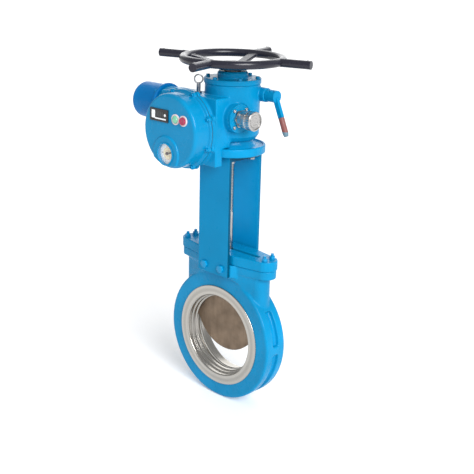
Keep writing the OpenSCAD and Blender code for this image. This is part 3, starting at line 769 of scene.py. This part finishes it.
def hub_nut_parts():
    """The nut over the handwheel's hub, with the stem's hole."""
    low, high = (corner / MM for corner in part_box("hub_nut"))
    return [placed(hex_nut(high.y - low.y, high.z - low.z, HUB_NUT_HOLE), (0, 0, low.z))]


def bolts_along(name, axis, flats, height, radius, socket=False):
    """A bolt or a cap screw for every solid of a node, its head towards an axis."""
    axis = Vector(axis)
    parts = []
    for low, high in solids_of(name):
        length = abs((high - low).dot(axis)) - height
        middle = (low + high) / 2
        seat = middle + axis * ((length + height) / 2 - height)
        made = cap_screw if socket else bolt
        parts.append(placed(made(flats, height, radius, length), seat, axis))
    return parts


def yoke_bolt_parts():
    """Yoke bolts, each with its head on the outside of its plate."""
    parts = []
    for low, high in solids_of("yoke_bolts"):
        side = -1 if low.y < 0 else 1
        seat = (high.y if side > 0 else low.y) - side * YOKE_HEAD_HEIGHT
        length = high.y - low.y - YOKE_HEAD_HEIGHT
        centre = ((low.x + high.x) / 2, seat, (low.z + high.z) / 2)
        made = bolt(YOKE_HEAD_FLATS, YOKE_HEAD_HEIGHT, YOKE_SHANK_RADIUS, length)
        parts.append(placed(made, centre, (0, side, 0)))
    return parts


def gland_parts():
    """Cable gland: hexagon, waist, and a body with a groove."""
    low, high = (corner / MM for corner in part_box("cable_gland"))
    rings = [
        (14, 0, 0), (21.2, 0, 38.5), (22, 0.8, 38.5), (22, 5.2, 38.5), (21.2, 6, 38.5),
        (18.2, 6.3, 0), (18.2, 8.5, 0), (19.5, 9, 0), (19.5, 20, 0), (18.4, 20.4, 0),
        (18.4, 21.6, 0), (19.5, 22, 0), (19.5, 29.4, 0), (18.9, 30, 0), (14, 30, 0),
    ]
    centre = (low.x, (low.y + high.y) / 2, (low.z + high.z) / 2)
    return [placed(lathe_rings(rings, 96), centre, AXIS_X)]


def cap_parts():
    """Ribbed cap with a stepped face that closes the gland."""
    low, high = (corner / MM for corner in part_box("cable_gland_cap"))
    rings = [
        (0, 0, 0), (13.9, 0, 0), (13.9, 10, 0), (22.2, 10, 0), (23, 10.8, 0), (23, 12, 0),
        (23, 12.8, 0), (23, 22.2, 0), (23, 23, 0), (23, 28.4, 0), (21.6, 30, 0), (19.4, 30, 0),
        (19, 29.4, 0), (19, 27.6, 0), (15.2, 27.2, 0), (14.6, 28, 0), (9, 28, 0), (8.4, 27.2, 0),
        (0, 27.2, 0),
    ]
    points, faces = lathe_rings(rings, 120)
    for point in points:
        radius = math.hypot(point.x, point.y)
        if radius > CAP_RADIUS and CAP_RIBS_LOW < point.z < CAP_RIBS_HIGH:
            angle = math.atan2(point.y, point.x)
            rib = 1 - CAP_RIB_DEPTH * (0.5 - 0.5 * math.cos(CAP_RIB_COUNT * angle)) / radius
            point.x *= rib
            point.y *= rib
    centre = (low.x, (low.y + high.y) / 2, (low.z + high.z) / 2)
    return [placed((points, faces), centre, AXIS_X)]


def button_parts(name, rings):
    """Push-button turned about its own axis, its face forward."""
    low, high = (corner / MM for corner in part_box(name))
    centre = ((low.x + high.x) / 2, high.y, (low.z + high.z) / 2)
    return [placed(lathe_rings(rings), centre, -AXIS_Y)]


LENS_RINGS = [
    (0, 0, 0), (9, 0, 0), (9, 9, 0), (8.7, 10.2, 0), (7.6, 11.6, 0), (5.6, 12.5, 0),
    (2.8, 12.9, 0), (0, 13, 0),
]
PUSH_RINGS = [
    (0, 0, 0), (9, 0, 0), (9, 12.2, 0), (8.3, 13, 0), (7.3, 13, 0), (6.7, 12.3, 0), (3, 12, 0),
    (0, 11.9, 0),
]
DETAILS = {
    "stem": stem_parts,
    "gland_studs": stud_parts,
    "gland_nuts": nut_parts,
    "hub_nut": hub_nut_parts,
    "yoke_bolts": yoke_bolt_parts,
    "base_bolts": lambda: bolts_along("base_bolts", (0, 0, -1), 17, 7, 5),
    "motor_bolts": lambda: bolts_along("motor_bolts", (-1, 0, 0), 7, 4, 2),
    "cover_screws": lambda: bolts_along("cover_screws", (0, -1, 0), 3.8, 4, 2.5, True),
    "top_cover_screws": lambda: bolts_along("top_cover_screws", (0, 0, 1), 5, 5, 3, True),
    "cable_flange_screws": lambda: bolts_along("cable_flange_screws", (1, 0, 0), 4, 3.5, 2, True),
    "cable_gland": gland_parts,
    "cable_gland_cap": cap_parts,
    "green_button": lambda: button_parts("green_button", LENS_RINGS),
    "red_button": lambda: button_parts("red_button", PUSH_RINGS),
}


# ---------------------------------------------------------------- dial and display

def add_detail(name, parts, body, look):
    """An extra piece on a body, made of parts in millimetres."""
    mesh = join_parts(parts)
    sharpen(mesh)
    add_piece(name, mesh, body, look)


def facing(centre_x, centre_z, angle, near, far, half, face, rise):
    """Raised bar on a vertical face, from one radius to another at a clockwise angle."""
    out = Vector((math.sin(angle), 0, math.cos(angle)))
    across = Vector((out.z, 0, -out.x))
    centre = Vector((centre_x, 0, centre_z))
    points = []
    for y in (face, face - rise):
        for reach, side in ((near, -1), (near, 1), (far, 1), (far, -1)):
            points.append(centre + out * reach + across * side * half + Vector((0, y, 0)))
    faces = [(3, 2, 1, 0), (4, 5, 6, 7), (0, 1, 5, 4), (1, 2, 6, 5), (2, 3, 7, 6), (3, 0, 4, 7)]
    return points, faces


def figures(text, size, centre_x, centre_z, face):
    """Plain figures raised from a vertical face, as a part in millimetres."""
    curve = bpy.data.curves.new("figures", "FONT")
    curve.body = text
    curve.size = size
    curve.align_x = "CENTER"
    curve.align_y = "CENTER"
    curve.extrude = FIGURE_RISE
    source = bpy.data.objects.new("figures", curve)
    bpy.context.scene.collection.objects.link(source)
    graph = bpy.context.evaluated_depsgraph_get()
    mesh = bpy.data.meshes.new_from_object(source.evaluated_get(graph))
    bpy.data.objects.remove(source)
    points = [
        Vector((centre_x + v.co.x, face - FIGURE_RISE - v.co.z, centre_z + v.co.y))
        for v in mesh.vertices
    ]
    return points, [tuple(polygon.vertices) for polygon in mesh.polygons]


DIAL_SWEEP = 270
DIAL_LABELS = ("0", "25", "50", "75", "100")
DIAL_STEPS = 20
TICK_END = 24.4
LABEL_SIZE = 4.2
LABEL_RADIUS = 18.2
FIGURE_RISE = 0.06


def draw_dial():
    """Pale dial with a cream middle, soft orange rings, ticks and plain figures."""
    low, high = (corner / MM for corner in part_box("dial_face"))
    x, z = (low.x + high.x) / 2, (low.z + high.z) / 2
    face = low.y
    body, slot = BODY_OF["dial_face"], SLOT_OF["dial_face"]

    def ring(inner, outer, rise):
        rings = [(inner, 0, 0), (outer, 0, 0), (outer, rise, 0), (inner, rise, 0)]
        return placed(lathe_rings(rings, 72), (x, face, z), -AXIS_Y)

    cream = moulded("dial_centre", (0.95, 0.87, 0.60), 0.5, depth=0.00003)
    orange = moulded("dial_rings", (0.85, 0.52, 0.30), 0.5, depth=0.00003)
    add_detail("dial_centre", [ring(3, 15, 0.10)], body, cream)
    add_detail("dial_rings", [ring(13.6, 14.6, 0.18), ring(7.5, 8.6, 0.18)], body, orange)
    ticks = []
    for k in range(DIAL_STEPS + 1):
        angle = math.radians(k * DIAL_SWEEP / DIAL_STEPS)
        start, half = (21.4, 0.35) if k % 5 == 0 else (22.6, 0.2)
        ticks.append(facing(x, z, angle, start, TICK_END, half, face, 0.15))
    for k, label in enumerate(DIAL_LABELS):
        angle = math.radians(k * DIAL_SWEEP / (len(DIAL_LABELS) - 1))
        across = x + LABEL_RADIUS * math.sin(angle)
        height = z + LABEL_RADIUS * math.cos(angle)
        ticks.append(figures(label, LABEL_SIZE, across, height, face))
    add_detail("dial_scale", ticks, body, LOOKS["pointer_dark"])


DISPLAY_RECESS = 1
DISPLAY_INSET = 4


def draw_display():
    """Generic readout on the display's recessed face: a pale window, bars and a lamp."""
    low, high = (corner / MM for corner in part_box("display_panel"))
    face = low.y + DISPLAY_RECESS
    left, right = low.x + DISPLAY_INSET, high.x - DISPLAY_INSET
    foot, top = low.z + DISPLAY_INSET, high.z - DISPLAY_INSET
    width, height = right - left, top - foot
    body = BODY_OF["display_panel"]

    def window(x0, x1, z0, z1, rise=0.2):
        corner = (left + width * x0, face - rise, foot + height * z0)
        return block(corner, (left + width * x1, face, foot + height * z1))

    pale = moulded("readout_pale", (0.86, 0.88, 0.90), 0.35, depth=0.00003)
    grey = moulded("readout_grey", (0.05, 0.055, 0.06), 0.3, depth=0.00003)
    dome = lathe_rings([(0, 0, 0), (3.4, 0, 0), (3.0, 0.5, 0), (0, 0.8, 0)])
    lamp = placed(dome, (left + width * 0.87, face, foot + height * 0.56), -AXIS_Y)
    add_detail("readout_window", [
        window(0.02, 0.24, 0.10, 0.98), window(0.24, 0.94, 0.03, 0.18), lamp,
    ], body, pale)
    bars = [window(0.36 + 0.11 * k, 0.41 + 0.11 * k, 0.34, 0.90) for k in range(4)]
    add_detail("readout_bars", bars, body, grey)


WELD_STEP = 1.5
WELD_INSET = 4
WELD_RADIUS = 3.2
WELD_RIPPLE = 0.35


def weld_beads():
    """Rippled fillet welds under the yoke's top plate, one against each side plate."""
    low, high = (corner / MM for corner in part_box("yoke_top_plate"))
    count = int((high.x - low.x - 2 * WELD_INSET) / WELD_STEP)
    rings = [(0, 0, 0)]
    for k in range(count):
        rings.append((WELD_RADIUS + WELD_RIPPLE * (k % 2), (k + 0.5) * WELD_STEP, 0))
    rings.append((0, (count + 0.5) * WELD_STEP, 0))
    beads = [
        placed(lathe_rings(rings, 16), (low.x + WELD_INSET, y, low.z), AXIS_X)
        for y in (low.y, high.y)
    ]
    add_detail("yoke_welds", beads, BODY_OF["yoke_top_plate"], PLATE_BLUE)


EDGES = {
    "yoke_top_plate": 0.8,
    "gate": 0.5,
    "front_seat_ring": 0.5,
    "rear_seat_ring": 0.5,
    "handwheel_grips": 2.2,
    "lever_grip": 1.0,
    "dial_bezel": 0.6,
}
DEFAULT_EDGE = 0.35


def dress_nodes():
    """Makes the finer pieces, then gives every other CAD node its material and bevel."""
    for names, voxel, passes in CASTINGS:
        rounded(names, voxel, passes)
    for name in PLATES:
        flat_plate(name)
    for name, parts in DETAILS.items():
        stand_for(name, parts())
    remade = set(PLATES) | set(DETAILS)
    for names, _, _ in CASTINGS:
        remade.update(names)
    for name in NODES:
        if name not in remade:
            dress(name, EDGES.get(name, DEFAULT_EDGE))


# ---------------------------------------------------------------- studio

FLOOR_SIZE = 40.0


def make_floor():
    """Plain pale floor under the valve, glowing faintly so that it stays near white."""
    half = FLOOR_SIZE / 2
    level = cad_low.z
    mesh = bpy.data.meshes.new("floor")
    mesh.from_pydata(
        [(-half, -half, level), (half, -half, level), (half, half, level), (-half, half, level)],
        [],
        [(0, 1, 2, 3)],
    )
    floor = bpy.data.objects.new("floor", mesh)
    bpy.context.scene.collection.objects.link(floor)
    look = material("floor_white", (0.92, 0.92, 0.92), roughness=0.9, Specular_IOR_Level=0.1,
                    Emission_Color=(1, 1, 1, 1), Emission_Strength=0.14)
    surface(look, "Roughness", spread(look, noise(look, 3, 2), 0.85, 0.95))
    mesh.materials.append(look)


def make_lamp(name, azimuth, elevation, strength, spread_degrees):
    """Wide, soft studio lamp far away in a compass direction, 0 in front and 90 at the right."""
    data = bpy.data.lights.new(name, "SUN")
    data.energy = strength
    data.angle = math.radians(spread_degrees)
    lamp = bpy.data.objects.new(name, data)
    bpy.context.scene.collection.objects.link(lamp)
    turn, tilt = math.radians(azimuth), math.radians(elevation)
    back = Vector((
        math.sin(turn) * math.cos(tilt), -math.cos(turn) * math.cos(tilt), math.sin(tilt),
    ))
    lamp.rotation_mode = "QUATERNION"
    lamp.rotation_quaternion = back.to_track_quat("Z", "Y")


def make_studio():
    """White room light, a wide key lamp from the right and a weaker one from the back left."""
    scene = bpy.context.scene
    scene.view_settings.view_transform = "Standard"
    world = bpy.data.worlds.new("studio")
    world.use_nodes = True
    scene.world = world
    background = world.node_tree.nodes["Background"]
    background.inputs["Color"].default_value = (0.96, 0.98, 1.0, 1)
    background.inputs["Strength"].default_value = 0.47
    make_lamp("key", 70, 30, 3.7, 35)
    make_lamp("back", -140, 24, 1.1, 55)
    make_floor()


make_camera()
dress_nodes()
draw_dial()
draw_display()
weld_beads()
make_studio()
